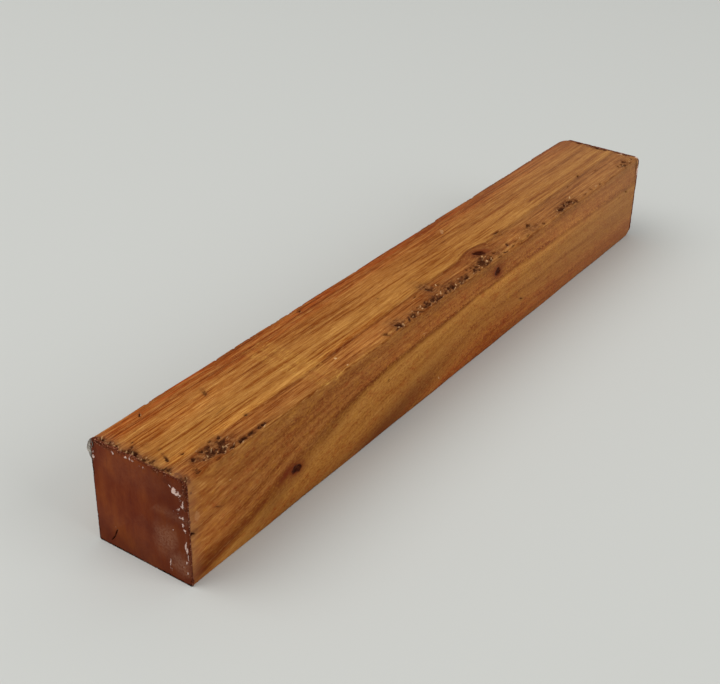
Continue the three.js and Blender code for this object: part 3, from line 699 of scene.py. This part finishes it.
def wax_end(name, face, inwards, laps, lumps, smudges, grooves, seed):
    """The film over one end: an outer face with its lumps, and a skirt that laps over the wood's edges."""
    spots = lumps + grooves
    crumbly_band = inwards > 0

    def face_place(y, z):
        return HALF - y, SIDE - z

    def target(at):
        f = at[:, 0] / SKIRT
        from_back, from_top = face_place(at[:, 1], at[:, 2])
        depth = np.minimum(HALF - abs(at[:, 1]), HALF - abs(at[:, 2] - HALF))
        size = RIM_EDGE + WAX_GROWTH * np.maximum(depth - RIM_BAND, 0)
        size = np.minimum(size, spot_target(spots, from_back, from_top, LUMP_EDGE, WAX_GROWTH))
        if crumbly_band:
            off_band = np.maximum(SIDE - from_back - CRUMBS_SIDE, 0)
            size = np.minimum(size, BAND_EDGE + WAX_GROWTH * off_band)
        size = np.where(f > 0.98, np.maximum(size, BACK_EDGE + BACK_GROWTH * depth), size)
        return np.minimum(size, WAX_LONGEST)

    points, triangles = refined(*box_mesh((0, -HALF, 0), (SKIRT, HALF, SIDE), (1, 1, 1)), target)
    x, y, z = points.T
    f = x / SKIRT
    across, depth, flat_normal = section(y, z)
    reach = LAP_SHARE * (0.6 + 0.6 * noise(seed, across / 1.6) + 0.4 * noise(seed + 1, across / 0.6))
    pale_lap = np.zeros(len(x))
    for over, half_wide, far, how_pale in laps:
        there = bell(apart(across, over) / half_wide)
        reach += far * there * (0.75 + 0.4 * noise(seed + 2, across / 0.9))
        pale_lap = np.maximum(pale_lap, how_pale * there)
    reach = np.maximum(reach, LEAST_LAP)
    skirt = f * (WAX + reach)
    behind = WAX + reach * smoothstep(0.9, 0.25, depth)
    along = np.where(f > 0.999, behind, skirt)
    y, z, normal = rounded(y, z, corner_radii(along if inwards > 0 else LENGTH - along))
    normal = np.where(np.linalg.norm(normal, axis=1, keepdims=True) > 0.5, normal, flat_normal)

    from_back, from_top = face_place(points[:, 1], points[:, 2])
    raised, pale, haze, _ = press(lumps, from_back, from_top, seed + 10, 0.95)
    _, _, smudge, _ = press(smudges, from_back, from_top, seed + 50, 0.4)
    cut, dark, _, _ = press(grooves, from_back, from_top, seed + 70, 0.15)
    in_front = f < 0.001
    brushed = 0.035 * noise(seed + 4, y / 2.4, z / 11) + 0.02 * noise(seed + 5, y / 0.7, z / 4)
    rim = smoothstep(0.55, 0.0, depth)
    crumbly = noise(seed + 6, across / 1.3) + 0.6 * noise(seed + 7, across / 0.45)
    chipped = 0.5 * np.maximum(crumbly + 0.5 * noise(seed + 9, across / 6), 0)
    band = smoothstep(0.7, 0, depth)
    if crumbly_band:
        top_band = smoothstep(CRUMBS_TOP, 0.3, from_top)
        side_band = smoothstep(CRUMBS_SIDE, 1, SIDE - from_back)
        band = np.maximum.reduce([band, top_band, side_band])
    grains = noise(seed + 12, from_back / 0.7, from_top / 0.7)
    grains += 0.6 * noise(seed + 13, from_back / 1.7, from_top / 1.7)
    gaps = noise(seed + 14, across / 4.5) + 0.5 * noise(seed + 15, across / 1.4)
    band *= smoothstep(-0.5, 0.35, gaps)
    pitted = band * 0.22 * np.maximum(grains, 0)
    out = raised - cut + brushed - pitted - rim * (0.1 + chipped * smoothstep(0.7, 0.1, depth))
    along = np.where(in_front, WAX_SUNK - out, along)
    on_side = depth < TINY
    proud = WAX_PROUD * (1 - f * f) - 0.16 * smoothstep(0.75, 1, f)
    proud += 0.03 * noise(seed + 8, across, along * 2) - 0.2 * chipped * (1 - f)
    push = np.where(on_side, proud, 0)
    y = y + normal[:, 0] * push
    z = np.maximum(z + normal[:, 1] * push, 0)
    pale_here = np.maximum(pale * (in_front | (f < 0.3)), pale_lap * on_side)
    dark_rim = 0.5 * chipped * rim * smoothstep(SIDE, SIDE - 4, from_top)
    attributes = {
        "pale": np.where(in_front | on_side, pale_here, 0),
        "haze": np.maximum(np.where(in_front, np.maximum(smudge, 0.15 * haze), 0), pale_lap * 0.7),
        # On the skirt over the wood's faces, dark is painted shade that keeps the lit lap as dark as the
        # end's face, and deeper where the wax is chipped
        "dark": np.where(in_front, dark + dark_rim, 0.1 + 0.4 * chipped),
        "crumb": np.where(in_front, band, 1.0),
    }
    x = face + inwards * along
    triangles = triangles if inwards > 0 else triangles[:, ::-1]
    return mesh_object(name, np.stack([x, y, z], axis=1), triangles, attributes)


def wax_flake():
    """A thin ragged sheet of wax, curling out past the back face at its top corner."""
    downs = np.linspace(FLAKE[0][0], FLAKE[-1][0], FLAKE_ROWS)
    far = np.interp(downs, *zip(*FLAKE))
    far += 0.12 * noise(SEED + 5, downs * 2.1) + 0.08 * noise(SEED + 6, downs * 5)
    share = np.linspace(0, 1, FLAKE_COLUMNS)
    out = -FLAKE_ROOT + (np.maximum(far, -FLAKE_ROOT / 2)[:, None] + FLAKE_ROOT) * share
    down = downs[:, None] + 0.1 * share * noise(SEED + 8, downs * 1.7)[:, None]
    bend = FLAKE_CURL * (np.maximum(out, 0) / FLAKE_WIDEST) ** 2
    bend += 0.05 * noise(SEED + 9, out.ravel() * 1.2, down.ravel()).reshape(out.shape)
    sheets = []
    for thick in (0, FLAKE_THICK):
        x = MARKED_FACE + FLAKE_BEHIND + bend + thick
        sheets.append(np.stack([x, HALF + out, SIDE - down], axis=-1).reshape(-1, 3))
    count = out.size
    corner = np.arange(count).reshape(out.shape)
    a, b, c, d = corner[:-1, :-1], corner[:-1, 1:], corner[1:, 1:], corner[1:, :-1]
    front = np.concatenate([np.stack([a, b, c], -1).reshape(-1, 3), np.stack([a, c, d], -1).reshape(-1, 3)])
    rim = np.concatenate([corner[0], corner[1:, -1], corner[-1, -2::-1], corner[-2:0:-1, 0]])
    following = np.roll(rim, -1)
    edge = np.concatenate([
        np.stack([rim, rim + count, following], -1),
        np.stack([following, rim + count, following + count], -1),
    ])
    triangles = np.concatenate([front[:, ::-1], front + count, edge])
    return mesh_object("wax_flake", np.concatenate(sheets), triangles, {})


def srgb(tone):
    """A tone of three levels up to 255, as the linear colour that a shader takes."""
    channels = [level / 255 for level in tone]
    return tuple(c / 12.92 if c <= 0.04045 else ((c + 0.055) / 1.055) ** 2.4 for c in channels) + (1.0,)


class Value:
    """What a node gives at each point of a surface. It adds and multiplies as plain numbers do."""

    def __init__(self, shader, socket):
        self.shader = shader
        self.socket = socket

    def __add__(self, other):
        return self.shader.math("ADD", self, other)

    def __sub__(self, other):
        return self.shader.math("SUBTRACT", self, other)

    def __rsub__(self, other):
        return self.shader.math("SUBTRACT", other, self)

    def __mul__(self, other):
        return self.shader.math("MULTIPLY", self, other)

    def most(self, other):
        return self.shader.math("MAXIMUM", self, other)

    def least(self, other):
        return self.shader.math("MINIMUM", self, other)

    def ramp(self, low, high):
        """0 at low and 1 at high, smoothly between. low may be the larger, and then it falls."""
        inputs = {"Value": self, "From Min": low, "From Max": high}
        return self.shader.node("ShaderNodeMapRange", inputs, interpolation_type="SMOOTHSTEP", clamp=True)


class Shader:
    """A node material, with short calls for the nodes that it is made of."""

    def __init__(self, name):
        self.material = bpy.data.materials.new(name)
        self.material.use_nodes = True
        self.tree = self.material.node_tree
        self.colour = None

    def put(self, value, socket):
        if isinstance(value, Value):
            self.tree.links.new(value.socket, socket)
        else:
            socket.default_value = value

    def node(self, kind, inputs, output=0, **settings):
        made = self.tree.nodes.new(kind)
        for key, value in settings.items():
            setattr(made, key, value)
        for key, value in inputs.items():
            self.put(value, made.inputs[key])
        return Value(self, made.outputs[output])

    def math(self, operation, first, second):
        return self.node("ShaderNodeMath", {0: first, 1: second}, operation=operation)

    def attribute(self, name):
        return self.node("ShaderNodeAttribute", {}, output="Fac", attribute_name=name)

    def place(self):
        """Millimetres along the stick, across it and up."""
        at = self.node("ShaderNodeTexCoord", {}, output="Object")
        x, y, z = (self.node("ShaderNodeSeparateXYZ", {0: at}, output=axis) * TO_MM for axis in range(3))
        return x - MARKED_FACE, y, z

    def noise(self, place, detail, roughness, scale=1.0):
        vector = self.node("ShaderNodeCombineXYZ", dict(enumerate(place)))
        inputs = {"Vector": vector, "Scale": scale, "Detail": detail, "Roughness": roughness}
        return self.node("ShaderNodeTexNoise", inputs, output="Fac")

    def tones(self, value, stops):
        """A colour that runs through the stops' tones as the value rises."""
        made = self.tree.nodes.new("ShaderNodeValToRGB")
        elements = made.color_ramp.elements
        while len(elements) < len(stops):
            elements.new(0.5)
        for element, (position, tone) in zip(elements, stops):
            element.position = position
            element.color = srgb(tone)
        self.put(value, made.inputs[0])
        return Value(self, made.outputs[0])

    def cover(self, amount, tone, blend="MIX"):
        """Lays a tone over the colour so far."""
        made = self.tree.nodes.new("ShaderNodeMix")
        made.data_type = "RGBA"
        made.blend_type = blend
        over = srgb(tone) if isinstance(tone, tuple) else tone
        for number, value in ((0, amount), (6, self.colour), (7, over)):
            self.put(value, made.inputs[number])
        self.colour = Value(self, made.outputs[2])

    def bump(self, height, strength, distance_mm, **below):
        inputs = {"Height": height, "Strength": strength, "Distance": distance_mm / TO_MM, **below}
        return self.node("ShaderNodeBump", inputs)

    def finish(self, roughness, **sockets):
        surface = self.tree.nodes["Principled BSDF"]
        self.put(self.colour, surface.inputs["Base Color"])
        self.put(roughness, surface.inputs["Roughness"])
        for key, value in sockets.items():
            self.put(value, surface.inputs[key.replace("_", " ")])
        return self.material


# Tones of the wood by ring distance, in millimetres from the torn arris
RING_SPAN = 80.0
RING_TONES = (
    (0, (142, 87, 37)), (1.5, (150, 93, 42)), (3.2, (136, 77, 30)), (4.1, (159, 98, 46)),
    (5.1, (136, 77, 30)), (6, (159, 98, 46)), (7, (138, 78, 31)), (8.2, (156, 95, 43)),
    (9.2, (126, 66, 19)), (9.9, (114, 54, 10)), (10.5, (150, 94, 35)), (11.6, (180, 123, 57)),
    (15.5, (166, 107, 45)), (19, (172, 114, 51)), (23, (167, 107, 48)), (24.4, (147, 87, 33)),
    (26.5, (163, 102, 44)), (30, (161, 98, 41)), (31.8, (166, 93, 38)), (33.2, (140, 71, 22)),
    (35, (152, 76, 25)), (38.5, (138, 70, 21)), (43, (148, 81, 29)), (47, (168, 105, 47)),
    (54, (148, 85, 32)), (58, (174, 115, 54)), (64, (160, 97, 41)), (67, (130, 67, 18)),
    (72, (166, 99, 42)), (80, (156, 91, 36)),
)
# Streaks from broad to fine: the noise's length along the stick, its width across the rings and the
# stick, its detail and roughness, then the dark streaks and the light ones: from, to, strength, tone
STREAKS = (
    ((48, 5.5, 7, 2, 0.55), (0.52, 0.8, 0.7, (214, 178, 130)), (0.48, 0.22, 0.3, (202, 142, 70))),
    ((38, 1.3, 2.2, 3, 0.55), (0.51, 0.64, 0.95, (204, 164, 102)), (0.47, 0.34, 0.3, (218, 160, 86))),
    ((9, 0.4, 0.5, 3, 0.6), (0.52, 0.7, 0.72, (187, 134, 77)), (0.48, 0.27, 0.42, (222, 163, 90))),
    ((4, 0.16, 0.2, 2, 0.6), (0.52, 0.72, 0.75, (185, 132, 74)), (0.46, 0.27, 0.35, (228, 174, 104))),
)
# The planed side is felted with fine speckle instead, and is mottled
FELT = ((0.48, 0.72, 0.65, (200, 160, 104)), (0.5, 0.27, 0.36, (196, 136, 60)))
MOTTLE = ((0.5, 0.72, 0.5, (226, 160, 120)), (0.48, 0.28, 0.25, (190, 128, 44)))
FELT_STARTS = (5, 50)
BLUR_STARTS = (90, 160)
RING_BLUR = 6.0
FLAME = (172, 74, 28)
BROWNER = (92, 38, 12)
PORE = (92, 48, 18)
# Bands across the top where short fibres stand up and look pale: rising from, to, falling from, to
FIBRE_BANDS = ((64, 65.5, 68, 69.5), (69.5, 71.5, 75.5, 77))
FIBRE = (216, 160, 76)
# Wax soaked in from the ends in patches, a haze of wax near the marked end, and a painted sheen that
# lightens the wood towards the far end: from, to, how strong
SOAK_SPREAD = 15.0
SOAK_START = 6.3
SOAK_PLANED = 2.4
SOAKED = (98, 46, 26)
FAR_PAINTED_SHEEN = (150, 0, 0.32)
MARKED_HAZE = (7, 0, 0.35)
HAZE_AND_SHEEN = (160, 118, 82)
STAIN = (108, 42, 15)
GRIME_AND_SHADE = (88, 44, 22)
SPLINTER_AND_LIP_HIGHLIGHT = (214, 170, 122)
TORN_TONES = ((0.36, (72, 34, 14)), (0.5, (114, 66, 32)), (0.62, (168, 116, 68)))
PIT_AND_SHADE_TONES = ((0.32, (50, 20, 8)), (0.5, (74, 38, 19)), (0.7, (114, 70, 40)))
KNOT_TONES = ((0.35, (46, 12, 3)), (0.5, (60, 21, 6)), (0.66, (78, 35, 14)))
SHINE = 0.03


def wood_material():
    shader = Shader("canarywood")
    along, sideways, up = shader.place()
    width = sideways + HALF
    ring = shader.attribute("ring")
    planed = shader.attribute("planed")

    def grain(long, fine, wide, detail, roughness=0.55):
        return shader.noise((along * (1 / long), ring * (1 / fine), width * (1 / wide)), detail, roughness)

    def streaks(value, where, dark, light):
        for (low, high, strength, tone), blend in ((dark, "MULTIPLY"), (light, "MIX")):
            shader.cover(value.ramp(low, high) * strength * where, tone, blend)

    # The rings, blurred on the planed side towards the far end, and their streaks
    felt = shader.noise((along, sideways, up * 1.7), 2, 0.6, 0.9)
    fuzzy = planed * along.ramp(*FELT_STARTS)
    blur = planed * along.ramp(*BLUR_STARTS) * (felt - 0.5) * RING_BLUR
    stops = [(at / RING_SPAN, tone) for at, tone in RING_TONES]
    shader.colour = shader.tones((ring + blur) * (1 / RING_SPAN), stops)
    rough_sawn = 1 - planed * 0.35 - fuzzy * 0.25
    layers = [grain(*sizes) for sizes, _, _ in STREAKS]
    for layer, (_, dark, light) in zip(layers, STREAKS):
        streaks(layer, rough_sawn, dark, light)
    streaks(felt, fuzzy, *FELT)
    streaks(shader.noise((along * 0.5, sideways, up), 3, 0.6, 0.5), planed, *MOTTLE)

    # Red flames along the back edge of the top and low on the side, then the patches and the pores
    low_down = up.ramp(6.5, 2.5) * (felt * 1.4 - 0.2)
    flames = grain(18, 0.9, 0.9, 3).ramp(0.46, 0.64)
    shader.cover(flames * width.ramp(34.2, 36.2).most(low_down) * 0.6, FLAME)
    tone = shader.attribute("tone")
    shader.cover(1.0, tone.most(1.0), "MULTIPLY")
    shader.cover((1 - tone.least(1.0)) * 1.25, BROWNER)
    pores = grain(2.4, 0.15, 0.2, 1).ramp(0.66, 0.74)
    shader.cover(pores * 0.45, PORE)

    first, second = (along.ramp(a, b) * along.ramp(d, c) for a, b, c, d in FIBRE_BANDS)
    bands = (first + second) * up.ramp(SIDE - 2, SIDE - 1) * width.ramp(34.5, 33)
    lifted = bands * (grain(2.4, 0.5, 0.6, 3).ramp(0.5, 0.66) * 0.38 + 0.05)
    shader.cover(lifted, FIBRE)

    patches = shader.noise((along, sideways, up), 3, 0.65, 0.28)
    soak_at = patches * SOAK_SPREAD - SOAK_START - planed * SOAK_PLANED
    from_far = LENGTH - along
    soak = (along - soak_at).ramp(1.0, -0.3).most((from_far - soak_at).ramp(0.2, -0.9))
    shader.cover(soak * 0.85, SOAKED)
    # A painted sheen, lighter towards the far end, and a haze of wax near the marked end
    far_from, far_to, far_share = FAR_PAINTED_SHEEN
    marked_from, marked_to, marked_share = MARKED_HAZE
    far_sheen = from_far.ramp(far_from, far_to) * far_share
    shader.cover(far_sheen.most(along.ramp(marked_from, marked_to) * marked_share), HAZE_AND_SHEEN)

    # Stain round the knots, torn ground, grime round the pits with painted shade along the bottom edges,
    # the pits (their dark partly painted shade) and knots, and pale splinters with a painted highlight on
    # the pits' lower lips
    shader.cover(shader.attribute("stain") * 0.9, STAIN)
    crumbs = shader.noise((along, sideways, up), 3, 0.65, 0.9)
    flakes = shader.noise((along * 0.5, up, sideways), 2, 0.6, 1.1)
    shader.cover(shader.attribute("torn") * 0.75, shader.tones(flakes, TORN_TONES))
    # Dirt round the pits and on torn ground, and painted shade along the bottom edges
    shader.cover(shader.attribute("grime_and_shade") * crumbs.ramp(0.25, 0.52) * 0.75, GRIME_AND_SHADE)
    # The pits' dark is partly the torn wood's own colour and partly painted shade for their depth
    dark = shader.attribute("dark")
    shader.cover(dark.ramp(0.15, 0.9), shader.tones(crumbs, PIT_AND_SHADE_TONES))
    shader.cover(shader.attribute("knot").ramp(0.05, 0.8), shader.tones(crumbs, KNOT_TONES))
    # Pale splinters and fibres, with a painted highlight along the pits' lower lips
    shader.cover(shader.attribute("pale").ramp(0.25, 1.2), SPLINTER_AND_LIP_HIGHLIGHT)

    roughness = 0.56 - planed * 0.12 + dark.most(pores) * 0.25
    fine, hair = layers[-2:]
    relief = fine + hair - pores * 0.8 + lifted * 1.5
    normal = shader.bump(relief, 0.6 - planed * 0.4, 0.12)
    normal = shader.bump(crumbs, dark * 0.7 + 0.02, 0.35, Normal=normal)
    return shader.finish(roughness, Normal=normal, Specular_IOR_Level=SHINE)


# Tones of the wax
WAX_TONES = ((0.32, (106, 42, 22)), (0.5, (120, 53, 26)), (0.68, (136, 66, 28)))
CRUMB_TONES = ((0.36, (42, 17, 8)), (0.46, (84, 34, 16)), (0.58, (104, 47, 22)), (0.67, (182, 136, 108)))
FLAKE_TONES = ((0.38, (92, 76, 62)), (0.52, (132, 120, 106)), (0.66, (176, 166, 152)))
WAX_PAINTED_SHADE = (76, 28, 12)
WAX_STREAK = (86, 34, 21)
WAX_HAZE = (186, 140, 112)
WAX_DARK = (58, 22, 12)
WAX_PALE = (222, 192, 180)


def wax_material():
    shader = Shader("end wax")
    along, sideways, up = shader.place()

    def grain(wide, tall, detail):
        place = along * (1 / wide), sideways * (1 / wide), up * (1 / tall)
        return shader.noise(place, detail, 0.55)

    shader.colour = shader.tones(grain(7, 11, 4), WAX_TONES)
    # Painted shade: darker low down and towards the torn arris
    shader.cover(up.ramp(14, 0).most(sideways.ramp(4, -14)) * 0.42, WAX_PAINTED_SHADE)
    fine = grain(0.9, 5, 3)
    shader.cover(fine.ramp(0.52, 0.75) * 0.3, WAX_STREAK)
    speckle = shader.noise((along, sideways, up), 3, 0.6, 1.3)
    clots = shader.noise((along, sideways, up), 2, 0.6, 2.0)
    shader.cover(shader.attribute("crumb") * 0.85, shader.tones(clots, CRUMB_TONES))
    shader.cover(shader.attribute("haze") * speckle.ramp(0.2, 0.65) * 0.6, WAX_HAZE)
    shader.cover(shader.attribute("dark").ramp(0.1, 0.9), WAX_DARK)
    pale = shader.attribute("pale") * (clots * 1.6 + 0.2)
    shader.cover(pale.ramp(0.4, 0.75), WAX_PALE)
    normal = shader.bump(fine + speckle * 0.6, 0.35, 0.12)
    return shader.finish(speckle * 0.25 + 0.32, Normal=normal, Specular_IOR_Level=SHINE)


def flake_material():
    shader = Shader("wax flake")
    clouds = shader.noise(shader.place(), 3, 0.6, 1.1)
    shader.colour = shader.tones(clouds, FLAKE_TONES)
    return shader.finish(0.5, Transmission_Weight=0.12)


def paint(piece, material):
    piece.data.materials.clear()
    piece.data.materials.append(material)


# The camera, where lines fitted to the photograph's silhouette put it, in metres and degrees
CAMERA_AT = Vector((-0.3666, -0.2258, 0.2591))
CAMERA_TURN = math.radians(55.41)
CAMERA_DOWN = math.radians(30.49)
CAMERA_ROLL = math.radians(1.19)
FOCAL_PIXELS = 1287.3
IMAGE_WIDTH = 720
SENSOR = 36.0
# The floor and the light
FLOOR_REACH = 3000.0
FLOOR_THICK = 20
FLOOR_TONE = (206, 207, 204)
SKY = (0.98, 1.0, 0.99, 1.0)
SKY_STRENGTH = 0.52
LAMP_COLOUR = (1.0, 0.99, 0.97)
# Lamps: place and width in metres, and watts
LAMPS = {"key": ((-0.8, 0.95, 1.95), 2.1, 25), "fill": ((0.2, -1.8, 1.2), 1.5, 14)}


def add_camera():
    data = bpy.data.cameras.new("camera")
    data.sensor_width = SENSOR
    data.sensor_fit = "HORIZONTAL"
    data.lens = FOCAL_PIXELS / IMAGE_WIDTH * SENSOR
    camera = bpy.data.objects.new("camera", data)
    turn = Matrix.Rotation(-CAMERA_TURN, 3, "Z")
    tilt = Matrix.Rotation(math.pi / 2 - CAMERA_DOWN, 3, "X")
    roll = Matrix.Rotation(CAMERA_ROLL, 3, "Z")
    camera.matrix_world = Matrix.Translation(CAMERA_AT) @ (turn @ tilt @ roll).to_4x4()
    bpy.context.scene.collection.objects.link(camera)
    bpy.context.scene.camera = camera


def add_floor():
    low, high = (-FLOOR_REACH, -FLOOR_REACH, -FLOOR_THICK), (FLOOR_REACH, FLOOR_REACH, 0)
    floor = mesh_object("floor", *box_mesh(low, high, (4, 4, 1)), {})
    shader = Shader("floor")
    shader.colour = srgb(FLOOR_TONE)
    paint(floor, shader.finish(0.7, Specular_IOR_Level=0.2))


def add_lamp(name, at, size, power):
    data = bpy.data.lights.new(name, "AREA")
    data.shape = "DISK"
    data.size = size
    data.energy = power
    data.color = LAMP_COLOUR
    lamp = bpy.data.objects.new(name, data)
    lamp.location = at
    lamp.rotation_euler = (-Vector(at)).to_track_quat("-Z", "Y").to_euler()
    bpy.context.scene.collection.objects.link(lamp)


def add_light():
    world = bpy.data.worlds.new("studio")
    world.use_nodes = True
    sky = world.node_tree.nodes["Background"]
    sky.inputs["Color"].default_value = SKY
    sky.inputs["Strength"].default_value = SKY_STRENGTH
    bpy.context.scene.world = world
    for name, (at, size, power) in LAMPS.items():
        add_lamp(name, at, size, power)
    bpy.context.scene.view_settings.view_transform = "Standard"


def add_piece(piece, node, material):
    paint(piece, material)
    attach(piece, "root")
    if node:
        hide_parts(node)


add_camera()
add_piece(wood_piece(), "wood_blank", wood_material())
wax = wax_material()
marked_spots = MARKED_LAPS, MARKED_LUMPS, MARKED_SMUDGES, MARKED_GROOVES
far_spots = FAR_LAPS, FAR_LUMPS, FAR_SMUDGES, ()
marked_end = wax_end("marked_end", MARKED_FACE, 1, *marked_spots, SEED + 300)
add_piece(marked_end, "marked_end_wax", wax)
add_piece(wax_flake(), None, flake_material())
far_end = wax_end("far_end", FAR_FACE, -1, *far_spots, SEED + 400)
add_piece(far_end, "far_end_wax", wax)
add_floor()
add_light()
